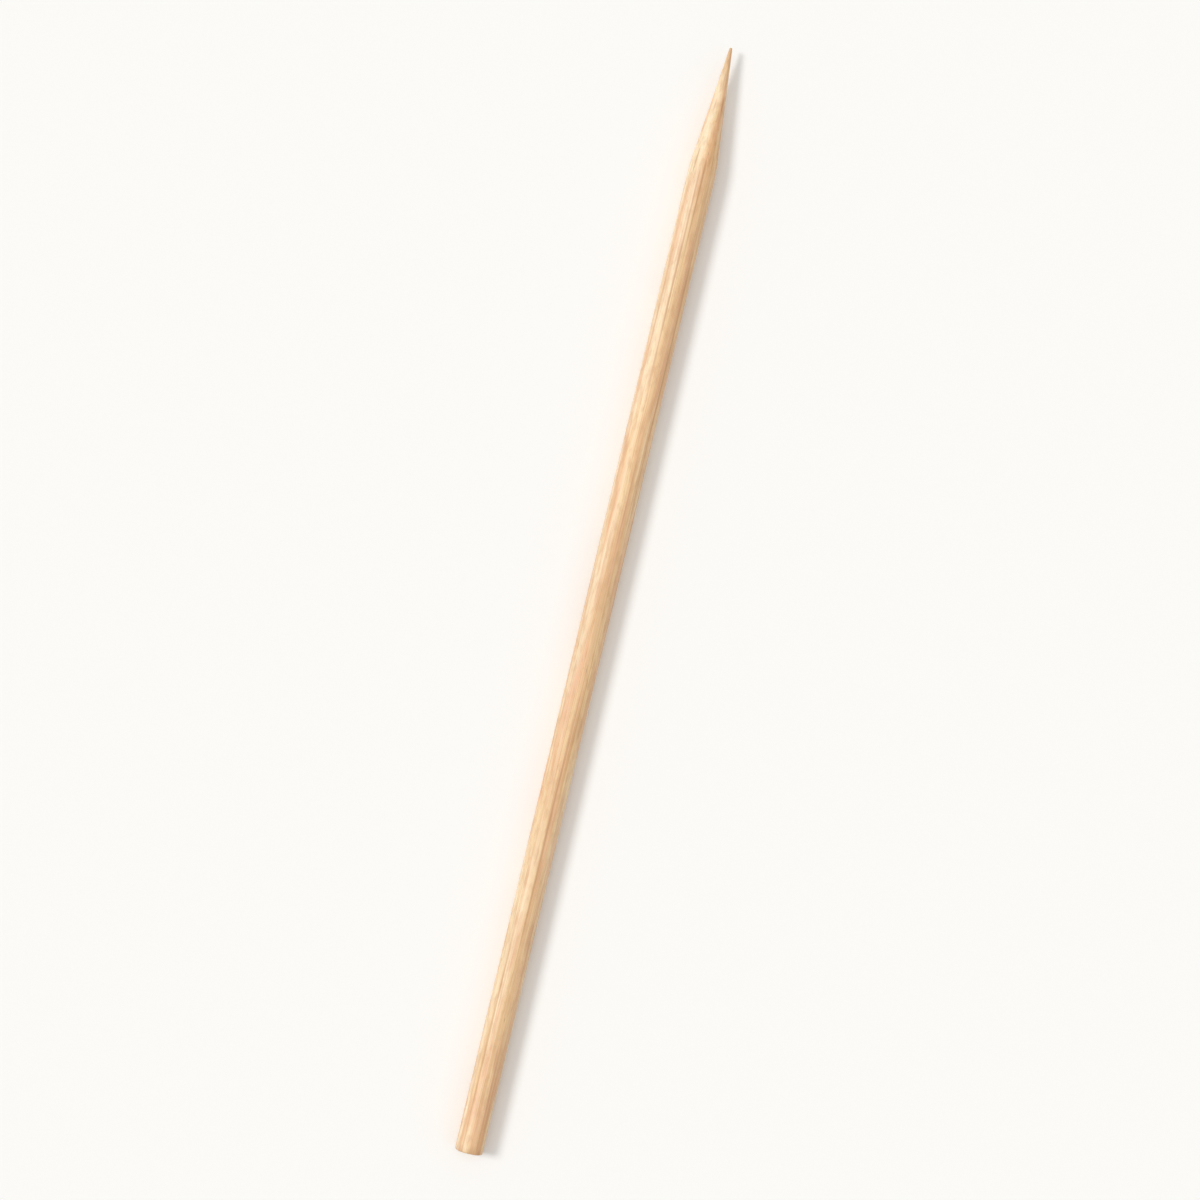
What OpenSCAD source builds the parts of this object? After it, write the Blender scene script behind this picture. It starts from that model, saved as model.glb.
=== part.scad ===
// Round bamboo skewer, in millimetres: a straight shank with a long cone ground at one end.
// It lies along +X, its point towards +X, with the centre of the flat cut end at the origin.

/* [Stick] */
// Length from the cut end to the tip
stick_length = 150; // [80:1:400]
// Diameter of the round shank
stick_diameter = 3.8; // [2.5:0.1:6]

/* [Point] */
// Length of the ground cone, from the shank to the tip
point_length = 16.5; // [8:0.5:40]
// Radius of the blunted tip
tip_radius = 0.2; // [0.05:0.05:0.6]
// Radius of the soft shoulder where the cone leaves the shank
shoulder_radius = 5; // [1:0.5:20]

/* [Cut end] */
// Width of the worn edge around the cut end
worn_edge = 0.25; // [0.05:0.05:0.8]

/* [Hidden] */
$fn = 96;

shank_radius = stick_diameter / 2;
shank_length = stick_length - point_length;

// The cone's side touches the tip's ball, so its angle follows from the ball's place
tip_centre = stick_length - tip_radius;
shoulder_to_ball = [tip_centre - shank_length, shank_radius];
cone_angle = atan(shoulder_to_ball.y / shoulder_to_ball.x) - asin(tip_radius / norm(shoulder_to_ball));

// The shoulder's arc starts this far before the corner of shank and cone
shoulder_setback = shoulder_radius * tan(cone_angle / 2);

// Points of an arc in the profile, as [distance from the axis, distance along it]
function arc(centre, radius, from, to, steps) = [
    for (i = [0 : steps])
        let (turn = from + (to - from) * i / steps)
        centre + radius * [cos(turn), sin(turn)]
];

function half_profile() = concat(
    [[0, 0], [shank_radius - worn_edge, 0], [shank_radius, worn_edge]],
    arc([shank_radius - shoulder_radius, shank_length - shoulder_setback], shoulder_radius, 0, cone_angle, 4),
    arc([0, tip_centre], tip_radius, cone_angle, 90, 8)
);

module skewer() {
    color("burlywood")
    rotate([0, 90, 0])
    rotate_extrude()
    polygon(half_profile());
}

skewer();
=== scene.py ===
import math
import bmesh
import bpy
from mathutils import Matrix, Vector, noise


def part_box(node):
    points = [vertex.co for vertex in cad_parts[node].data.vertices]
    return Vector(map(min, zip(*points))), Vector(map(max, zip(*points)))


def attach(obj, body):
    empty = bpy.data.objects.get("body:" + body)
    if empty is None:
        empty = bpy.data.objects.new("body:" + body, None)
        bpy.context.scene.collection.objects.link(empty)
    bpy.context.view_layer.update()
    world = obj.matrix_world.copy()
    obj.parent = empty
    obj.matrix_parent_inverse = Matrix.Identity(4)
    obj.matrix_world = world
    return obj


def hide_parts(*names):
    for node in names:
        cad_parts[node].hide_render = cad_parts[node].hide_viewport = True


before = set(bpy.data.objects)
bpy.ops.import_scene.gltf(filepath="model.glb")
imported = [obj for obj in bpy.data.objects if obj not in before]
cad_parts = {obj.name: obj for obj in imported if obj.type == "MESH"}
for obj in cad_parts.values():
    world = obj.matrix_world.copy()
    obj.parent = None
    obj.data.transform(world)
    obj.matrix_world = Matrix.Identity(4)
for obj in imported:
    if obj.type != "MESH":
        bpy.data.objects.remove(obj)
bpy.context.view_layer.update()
print("stage: frame loaded")

millimetre = 0.001
stickLow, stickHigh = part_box("skewer")
stickLength = stickHigh.x - stickLow.x
stickRadius = stickHigh.z
stickMiddle = Vector((stickLength / 2, 0, 0))

# The camera looks straight down on the stick, which points up in the picture and leans clockwise
overhead = {
    "lean": math.radians(13.4),
    "heightShare": 0.92,  # of the picture's height that the stick spans
    "lens": 100,  # long, so that the flat lay has almost no perspective
    "sensor": 36,
    "clip": 100,  # how many times nearer and further than the stick it still sees
}
skyward = Vector((0, 0, 1))
pictureUp = Matrix.Rotation(overhead["lean"], 3, skyward) @ Vector((1, 0, 0))
pictureRight = pictureUp.cross(skyward)


def addCamera():
    lens = bpy.data.cameras.new("overhead")
    lens.lens = overhead["lens"]
    lens.sensor_width = overhead["sensor"]
    spanned = stickLength * math.cos(overhead["lean"]) / overhead["heightShare"]
    distance = spanned * overhead["lens"] / overhead["sensor"]
    lens.clip_start = distance / overhead["clip"]
    lens.clip_end = distance * overhead["clip"]
    camera = bpy.data.objects.new("overhead", lens)
    turn = Matrix((pictureRight, pictureUp, skyward)).transposed().to_4x4()
    camera.matrix_world = Matrix.Translation(stickMiddle + skyward * distance) @ turn
    bpy.context.scene.collection.objects.link(camera)
    bpy.context.scene.camera = camera


addCamera()
print("stage: camera set")


def linearOf(hexColour):
    # sRGB hex to the linear numbers that the shaders take
    parts = [int(hexColour[i:i + 2], 16) / 255 for i in (1, 3, 5)]
    return [part / 12.92 if part <= 0.04045 else ((part + 0.055) / 1.055) ** 2.4 for part in parts] + [1]


def addNode(tree, kind, settings=None, links=None):
    # settings are node properties or socket values, links are sockets and the outputs that feed them
    node = tree.nodes.new(kind)
    for name, value in (settings or {}).items():
        if isinstance(name, str) and hasattr(node, name):
            setattr(node, name, value)
        else:
            node.inputs[name].default_value = value
    for name, output in (links or {}).items():
        tree.links.new(output, node.inputs[name])
    return node


# A softbox on the picture's left, a wide one overhead, a white board on the right, and a white room around.
# They are suns with a wide disc, so that the paper is lit evenly out to its edge.
softboxes = {
    "windowSide": {"left": 0.8, "up": 0.25, "spread": math.radians(18), "strength": 1.46},
    "ceiling": {"left": 0.1, "up": 0.15, "spread": math.radians(50), "strength": 0.46},
    "board": {"left": -0.9, "up": -0.35, "spread": math.radians(60), "strength": 0.3},
}
room = {
    "tint": "#FAF9F6",
    "strength": 0.47,
    "backdrop": 1,  # its strength as a picture shows it, so that it looks like the paper it meets
}


def addLights():
    for name, box in softboxes.items():
        lamp = bpy.data.lights.new(name, "SUN")
        lamp.angle = box["spread"]
        lamp.energy = box["strength"]
        softbox = bpy.data.objects.new(name, lamp)
        offset = pictureRight * -box["left"] + pictureUp * box["up"] + skyward
        softbox.location = stickMiddle + offset
        softbox.rotation_euler = (-offset).to_track_quat("-Z", "Y").to_euler()
        bpy.context.scene.collection.objects.link(softbox)
    world = bpy.data.worlds.new("whiteRoom")
    world.use_nodes = True
    walls = world.node_tree.nodes["Background"]
    walls.inputs["Color"].default_value = linearOf(room["tint"])
    seen = addNode(world.node_tree, "ShaderNodeLightPath").outputs["Is Camera Ray"]
    lift = {"operation": "MULTIPLY_ADD", 1: room["backdrop"] - room["strength"], 2: room["strength"]}
    strength = addNode(world.node_tree, "ShaderNodeMath", lift, {0: seen}).outputs[0]
    world.node_tree.links.new(strength, walls.inputs["Strength"])
    bpy.context.scene.world = world
    bpy.context.scene.view_settings.view_transform = "Standard"


addLights()
print("stage: lights on")


def newMaterial(name):
    material = bpy.data.materials.new(name)
    material.use_nodes = True
    return material, material.node_tree.nodes["Principled BSDF"]


# The stick as the dies, the belt and the saw leave it
stick = {
    "coneLength": 16.5 * millimetre,
    "coneRing": 0.25 * millimetre,  # spacing of the rings of points, here along the cone
    "shankRing": 0.5 * millimetre,
    "cutRing": 0.12 * millimetre,  # across the cut face
    "sides": 192,
    "weld": 0.0001 * millimetre,  # points nearer than this are one
    "wornEdge": 0.25 * millimetre,
    "shoulderBlend": 1.5 * millimetre,
    "tipCorner": 0.18 * millimetre,  # radius where the cone would meet a square tip
    "tipBlend": 0.15 * millimetre,
    "reliefs": [  # waves in the surface, in millimetres: how long, how wide and how deep
        {"seed": 0, "long": 90, "wide": 2.6, "deep": 0.04},  # flats where the strip was narrow for the die
        {"seed": 3, "long": 45, "wide": 0.9, "deep": 0.02},  # hollows between hard bands
        {"seed": 6, "long": 22, "wide": 0.32, "deep": 0.014},  # fibre bundles standing proud after tumbling
    ],
    "beltFlats": {"seed": 11, "long": 9, "wide": 1.3, "deep": 0.03},  # on the cone, pressed on the belt
    "chips": {"seed": 17, "long": 0.9, "wide": 0.5, "deep": 0.16},  # in the rim of the cut end
    "chipReach": 0.8 * millimetre,  # along the stick
    "chipShare": 0.45,  # of the wave's height that cuts in
    "sawMarks": {"seed": 23, "long": 5, "wide": 0.35, "deep": 0.03},  # across the cut end
    "tipDrift": 0.06 * millimetre,  # the point ends a little off the axis
}
coneStart = stickLength - stick["coneLength"]


def wave(place, relief):
    # smooth noise from 0 to 1, stretched along the fibres
    across = relief["wide"] * millimetre
    spot = Vector((place.x / (relief["long"] * millimetre), place.y / across, place.z / across))
    return 0.5 + 0.5 * noise.noise(spot + Vector([relief["seed"]] * 3))


def spunStick(bm):
    corners = [
        (0, 0, 0),
        (0, 0, stickRadius),
        (coneStart, 0, stickRadius),
        (stickLength, 0, stick["tipCorner"]),
        (stickLength, 0, 0),
    ]
    profile = [bm.verts.new(corner) for corner in corners]
    for start, end in zip(profile, profile[1:]):
        bm.edges.new((start, end))
    blends = [(1, "wornEdge", 4), (2, "shoulderBlend", 8), (3, "tipBlend", 5)]
    for index, size, segments in blends:
        bmesh.ops.bevel(bm, geom=[profile[index]], offset=stick[size], offset_type="OFFSET",
                        affect="VERTICES", segments=segments, profile=0.5, material=-1)
    shankEnd = coneStart - stick["shoulderBlend"]
    for edge in bm.edges[:]:
        middle = (edge.verts[0].co + edge.verts[1].co) / 2
        ring = stick["cutRing"] if middle.x < stick["cutRing"] else stick["shankRing"]
        ring = stick["coneRing"] if middle.x > shankEnd else ring
        cuts = int(edge.calc_length() / ring)
        if cuts:
            bmesh.ops.subdivide_edges(bm, edges=[edge], cuts=cuts)
    bmesh.ops.spin(bm, geom=bm.verts[:] + bm.edges[:], cent=(0, 0, 0), axis=(1, 0, 0), dvec=(0, 0, 0),
                   angle=math.tau, steps=stick["sides"], use_merge=True, use_duplicate=False)
    bmesh.ops.remove_doubles(bm, verts=bm.verts, dist=stick["weld"])
    bmesh.ops.recalc_face_normals(bm, faces=bm.faces)


def wearStick(bm):
    belt = stick["beltFlats"]
    chips = stick["chips"]
    saw = stick["sawMarks"]
    chipFloor = 1 - stick["chipShare"]
    for vert in bm.verts:
        place = vert.co.copy()
        outward = Vector((0, place.y, place.z))
        fromAxis = outward.length
        if fromAxis < stick["weld"]:
            continue
        outward.normalize()
        share = fromAxis / stickRadius  # the relief fades towards the tip, which stays whole
        sunk = sum(relief["deep"] * wave(place, relief) for relief in stick["reliefs"])
        if place.x > coneStart:
            ground = 1 - abs(2 * share - 1)  # none at the shoulder and at the tip
            sunk += ground * belt["deep"] * wave(place, belt)
        if place.x < stick["chipReach"]:
            chip = max(0, wave(place, chips) - chipFloor) / stick["chipShare"]
            sunk += chips["deep"] * chip * (1 - place.x / stick["chipReach"])
        if place.x < stick["wornEdge"] / 2:
            turned = Vector((place.y, place.x, place.z))
            vert.co.x += saw["deep"] * millimetre * wave(turned, saw)
        vert.co -= outward * sunk * millimetre * share
        drift = max(0, (place.x - coneStart) / stick["coneLength"]) ** 2 * stick["tipDrift"]
        vert.co.y += drift


def makeStick():
    bm = bmesh.new()
    spunStick(bm)
    wearStick(bm)
    mesh = bpy.data.meshes.new("bambooStick")
    bm.to_mesh(mesh)
    bm.free()
    mesh.shade_smooth()
    piece = bpy.data.objects.new("bambooStick", mesh)
    bpy.context.scene.collection.objects.link(piece)
    return piece


# Bamboo, drawn round through dies, tumbled smooth, ground on a belt and sawn square. The eye gets straight
# fibres along the stick in pale straw, thin tan bundles that crowd towards the side that lay under the culm's
# skin, and a dry surface with a soft sheen. The pattern is solid, so the cone cuts through it and the sawn
# end shows the same bundles as dots.
bamboo = {
    "straw": "#F3CE9A",
    "roughness": 0.4,
    "ior": 1.53,
    "glow": 0.15,  # light that enters between the fibres and comes out warmer
    "glowReach": 0.6 * millimetre,
    "glowTint": (1.0, 0.55, 0.3),  # how far red, green and blue get, as shares of the reach
    # points to the picture's right, away from the softbox on the left, so the tan laid towards it is partly
    # painted shade and the cream laid away from it partly a painted highlight
    "skinAndShadeSide": Vector((0, -0.95, 0.3)),
    # Where each mask starts and where it is full, along the stick or from its axis towards the culm's skin.
    # That direction faces away from the key light, so the skin mask also carries painted shade and the mask
    # on the other side a painted highlight.
    "masks": {
        "skin": {"by": "towardsSkinAndShade", "from": 0.1 * stickRadius, "full": 0.9 * stickRadius},
        "pithAndHighlight": {"by": "towardsSkinAndShade", "from": 0.4 * stickRadius, "full": -0.4 * stickRadius},
        "cone": {"by": "along", "from": coneStart - 0.2 * millimetre, "full": coneStart + 0.2 * millimetre},
        "shank": {"by": "along", "from": coneStart + millimetre, "full": coneStart - millimetre,
                  "outside": 0.4},  # what is left of it beyond
        "cut": {"by": "along", "from": 0.2 * millimetre, "full": 0.1 * millimetre},
        "rim": {"by": "along", "from": 1.3 * millimetre, "full": 0},
        "tip": {"by": "along", "from": stickLength - 6 * millimetre, "full": stickLength},
    },
    # Laid over the straw in turn, where the mask is full. Size is along the stick and across it, in
    # millimetres. As the pattern goes from low to full, the colour is laid on, the surface rises by as many
    # millimetres and its roughness grows by dry. Cells are long rods, and their pattern falls to 0 in the
    # middle of each. Single fibres are some 0.015 mm wide, so the fine fibres are drawn three times as wide
    # to show.
    "layers": [
        {"name": "cream bands", "seed": 0, "size": (60, 1.3, 1.3), "low": 0.45, "full": 0.7,
         "colour": "#FBE5C0", "strength": 0.8},
        {"name": "tan bands", "seed": 7, "size": (32, 1.0, 1.0), "low": 0.48, "full": 0.72,
         "colour": "#DBA571", "strength": 0.75},
        # cream of the side away from the skin, laid on the lit left: partly the bamboo's own colour, partly a
        # painted highlight
        {"name": "pith side and painted highlight", "seed": 95, "size": (30, 1.2, 1.2), "low": 0.34, "full": 0.6,
         "colour": "#FEEED0", "strength": 0.8, "where": "pithAndHighlight"},
        # tan towards the skin, laid on the shaded right: partly the bamboo's own colour, partly painted shade
        {"name": "skin side and painted shade", "seed": 102, "size": (16, 1.0, 1.0), "low": 0.4, "full": 0.6,
         "colour": "#DE9C66", "strength": 0.6, "where": "skin"},
        {"name": "peach streaks", "seed": 15, "size": (14, 0.9, 0.9), "low": 0.5, "full": 0.68,
         "colour": "#EDB088", "strength": 0.6},
        {"name": "green streaks", "seed": 22, "size": (18, 0.8, 0.8), "low": 0.54, "full": 0.72,
         "colour": "#E4CC95", "strength": 0.3},
        {"name": "blotches", "seed": 29, "size": (5, 0.8, 0.8), "low": 0.48, "full": 0.72,
         "colour": "#D09868", "strength": 0.5, "where": "shank"},
        {"name": "mottle", "seed": 116, "size": (1.7, 0.5, 0.5), "low": 0.46, "full": 0.66,
         "colour": "#CF9966", "strength": 0.35},
        {"name": "fibres", "seed": 37, "size": (12, 0.1, 0.1), "low": 0.42, "full": 0.66,
         "colour": "#CC9B6C", "strength": 0.4, "rise": 0.006, "dry": 0.12, "where": "shank"},
        {"name": "fine fibres", "seed": 44, "size": (25, 0.045, 0.045), "low": 0.4, "full": 0.62,
         "colour": "#F7E3C3", "strength": 0.3, "rise": 0.003, "where": "shank"},
        {"name": "bundles", "seed": 51, "cells": True, "size": (70, 0.55, 0.55), "low": 0.34, "full": 0.14,
         "colour": "#BA8655", "strength": 0.5, "rise": 0.008, "dry": -0.05},
        {"name": "skin bundles", "seed": 58, "cells": True, "size": (80, 0.3, 0.3), "low": 0.4, "full": 0.15,
         "colour": "#C18D5B", "strength": 0.5, "rise": 0.007, "where": "skin"},
        {"name": "flecks", "seed": 66, "size": (2.4, 0.16, 0.16), "low": 0.7, "full": 0.8,
         "colour": "#8A5A30", "strength": 0.7},
        {"name": "belt lines", "seed": 73, "size": (0.1, 2.5, 2.5), "low": 0.4, "full": 0.7,
         "colour": "#D9AC7C", "strength": 0.08, "rise": 0.004, "dry": 0.15, "where": "cone"},
        {"name": "saw lines", "seed": 80, "size": (4, 0.3, 4), "low": 0.4, "full": 0.7,
         "colour": "#C79A6B", "strength": 0.3, "rise": 0.02, "dry": 0.25, "where": "cut"},
        {"name": "bundle ends", "seed": 51, "cells": True, "size": (70, 0.55, 0.55), "low": 0.34,
         "full": 0.1, "colour": "#A87A4A", "strength": 0.6, "rise": 0.015, "where": "cut"},
        {"name": "skin bundle ends", "seed": 58, "cells": True, "size": (80, 0.3, 0.3), "low": 0.36,
         "full": 0.1, "colour": "#A87A4A", "strength": 0.5, "rise": 0.01, "where": "cut"},
        {"name": "pores", "seed": 58, "cells": True, "size": (80, 0.3, 0.3), "low": 0.13,
         "full": 0.06, "colour": "#6B4A2A", "strength": 0.5, "rise": -0.02, "where": "cut"},
        # darker within 1.3 mm of the cut end
        {"name": "darker near the cut end", "seed": 109, "size": (2, 0.5, 0.5), "low": 0.3, "full": 0.6,
         "colour": "#B5835A", "strength": 0.5, "where": "rim"},
        {"name": "scorch", "seed": 88, "size": (8, 0.6, 0.6), "low": 0.2, "full": 0.6,
         "colour": "#B9824C", "strength": 0.6, "where": "tip"},
    ],
}


def bambooMaterial():
    material, shader = newMaterial("drawnTumbledBamboo")
    tree = material.node_tree
    place = addNode(tree, "ShaderNodeTexCoord").outputs["Object"]
    along = addNode(tree, "ShaderNodeSeparateXYZ", links={"Vector": place}).outputs["X"]
    towards = {"operation": "DOT_PRODUCT", 1: bamboo["skinAndShadeSide"]}
    towardsSkinAndShade = addNode(tree, "ShaderNodeVectorMath", towards, {0: place}).outputs["Value"]
    measures = {"along": along, "towardsSkinAndShade": towardsSkinAndShade}
    masks = {}
    for name, mask in bamboo["masks"].items():
        limits = {"From Min": mask["from"], "From Max": mask["full"], "To Min": mask.get("outside", 0)}
        links = {"Value": measures[mask["by"]]}
        masks[name] = addNode(tree, "ShaderNodeMapRange", limits, links).outputs["Result"]
    colour = None
    sums = {"rise": None, "dry": None}
    starts = {"rise": 0, "dry": bamboo["roughness"]}
    for layer in bamboo["layers"]:
        scale = [1 / (size * millimetre) for size in layer["size"]]
        shift = [layer["seed"]] * 3
        spot = addNode(tree, "ShaderNodeMapping", {"Scale": scale, "Location": shift}, {"Vector": place})
        kind, output = ("Voronoi", "Distance") if layer.get("cells") else ("Noise", "Fac")
        pattern = addNode(tree, "ShaderNodeTex" + kind, {"Scale": 1}, {"Vector": spot.outputs["Vector"]})
        limits = {"interpolation_type": "SMOOTHSTEP", "From Min": layer["low"], "From Max": layer["full"]}
        links = {"Value": pattern.outputs[output]}
        share = addNode(tree, "ShaderNodeMapRange", limits, links).outputs["Result"]
        if "where" in layer:
            links = {0: share, 1: masks[layer["where"]]}
            share = addNode(tree, "ShaderNodeMath", {"operation": "MULTIPLY"}, links).outputs[0]
        cover = addNode(tree, "ShaderNodeMath", {"operation": "MULTIPLY", 1: layer["strength"]}, {0: share})
        # in a colour mix, input 6 is what lies under, 7 what is laid on and output 2 what shows
        paint = {"data_type": "RGBA", 6: linearOf(bamboo["straw"]), 7: linearOf(layer["colour"])}
        links = {0: cover.outputs[0], 6: colour} if colour else {0: cover.outputs[0]}
        colour = addNode(tree, "ShaderNodeMix", paint, links).outputs[2]
        for key in sums:
            if key in layer:
                settings = {"operation": "MULTIPLY_ADD", 1: layer[key], 2: starts[key]}
                links = {0: share, 2: sums[key]} if sums[key] else {0: share}
                sums[key] = addNode(tree, "ShaderNodeMath", settings, links).outputs[0]
    grain = addNode(tree, "ShaderNodeBump", {"Distance": millimetre}, {"Height": sums["rise"]})
    tree.links.new(colour, shader.inputs["Base Color"])
    tree.links.new(sums["dry"], shader.inputs["Roughness"])
    tree.links.new(grain.outputs["Normal"], shader.inputs["Normal"])
    shader.inputs["IOR"].default_value = bamboo["ior"]
    shader.inputs["Subsurface Weight"].default_value = bamboo["glow"]
    shader.inputs["Subsurface Radius"].default_value = bamboo["glowTint"]
    shader.inputs["Subsurface Scale"].default_value = bamboo["glowReach"]
    return material


piece = makeStick()
piece.data.materials.append(bambooMaterial())
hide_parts("skewer")
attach(piece, "root")
print("stage: stick made,", len(piece.data.polygons), "faces")

# Matt white paper under the stick, so wide that no view from above reaches its edge
paper = {
    "radius": 20,
    "sides": 128,
    "gap": 0.01 * millimetre,
    "colour": "#FAF9F7",
    "roughness": 0.9,
}


def makePaper():
    bm = bmesh.new()
    bmesh.ops.create_circle(bm, cap_ends=True, segments=paper["sides"], radius=paper["radius"])
    level = min(vert.co.z for vert in piece.data.vertices) - paper["gap"]
    bmesh.ops.translate(bm, verts=bm.verts, vec=(stickMiddle.x, 0, level))
    mesh = bpy.data.meshes.new("paperFloor")
    bm.to_mesh(mesh)
    bm.free()
    material, shader = newMaterial("mattPaper")
    shader.inputs["Base Color"].default_value = linearOf(paper["colour"])
    shader.inputs["Roughness"].default_value = paper["roughness"]
    mesh.materials.append(material)
    floor = bpy.data.objects.new("paperFloor", mesh)
    bpy.context.scene.collection.objects.link(floor)
    return floor


makePaper()
print("stage: floor laid")
